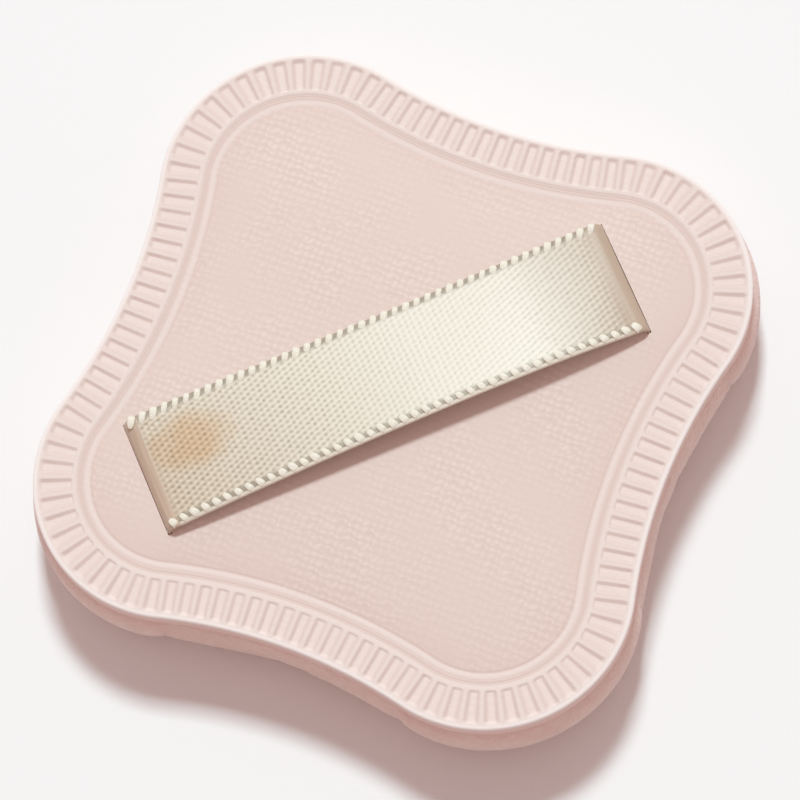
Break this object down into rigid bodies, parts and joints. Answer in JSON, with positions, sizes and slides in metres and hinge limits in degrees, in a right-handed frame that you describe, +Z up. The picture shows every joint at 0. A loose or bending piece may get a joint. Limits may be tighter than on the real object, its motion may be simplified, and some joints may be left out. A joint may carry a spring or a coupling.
{
  "type": "powder puff",
  "caption": "Soft four-lobed cosmetic puff with a pressed pocket rim, domed knit field, satin finger ribbon and a sponge core that compresses under the fingers.",
  "frame": {"origin": "middle of the flat powder face, on the surface that the puff lies on", "axes": "+Z up out of the ribbon side, +X along the ribbon towards one lobe, +Y towards the lobe beside it"},
  "size_m": [0.0606, 0.0606, 0.0104],
  "materials": {
    "knit": "fine matte knit, heat pressed, pale pink",
    "satin": "satin weave ribbon, ivory, soft sheen",
    "cloth": "short soft nap, matte, dusty pink",
    "backing_foam": "thin laminated foam, matte",
    "sponge": "open-cell sponge, matte",
    "adhesive": "thin melted adhesive, slightly milky"
  },
  "bodies": {
    "pad_base": {"under_cover": "cloth", "face_bond_film": "adhesive", "sponge_core": "sponge"},
    "pad_top": {"knit_cover": "knit", "cover_backing": "backing_foam", "cover_bond_film": "adhesive", "ribbon": "satin", "ribbon_patch_left": "adhesive", "ribbon_patch_right": "adhesive"}
  },
  "joints": [
    {"name": "sponge_press", "type": "slide", "parent": "pad_base", "child": "pad_top", "axis": [0, 0, -1], "range_m": [0, 0.0025], "stiffness_N_per_m": 300, "deforming": ["sponge_core", "under_cover"]}
  ]
}
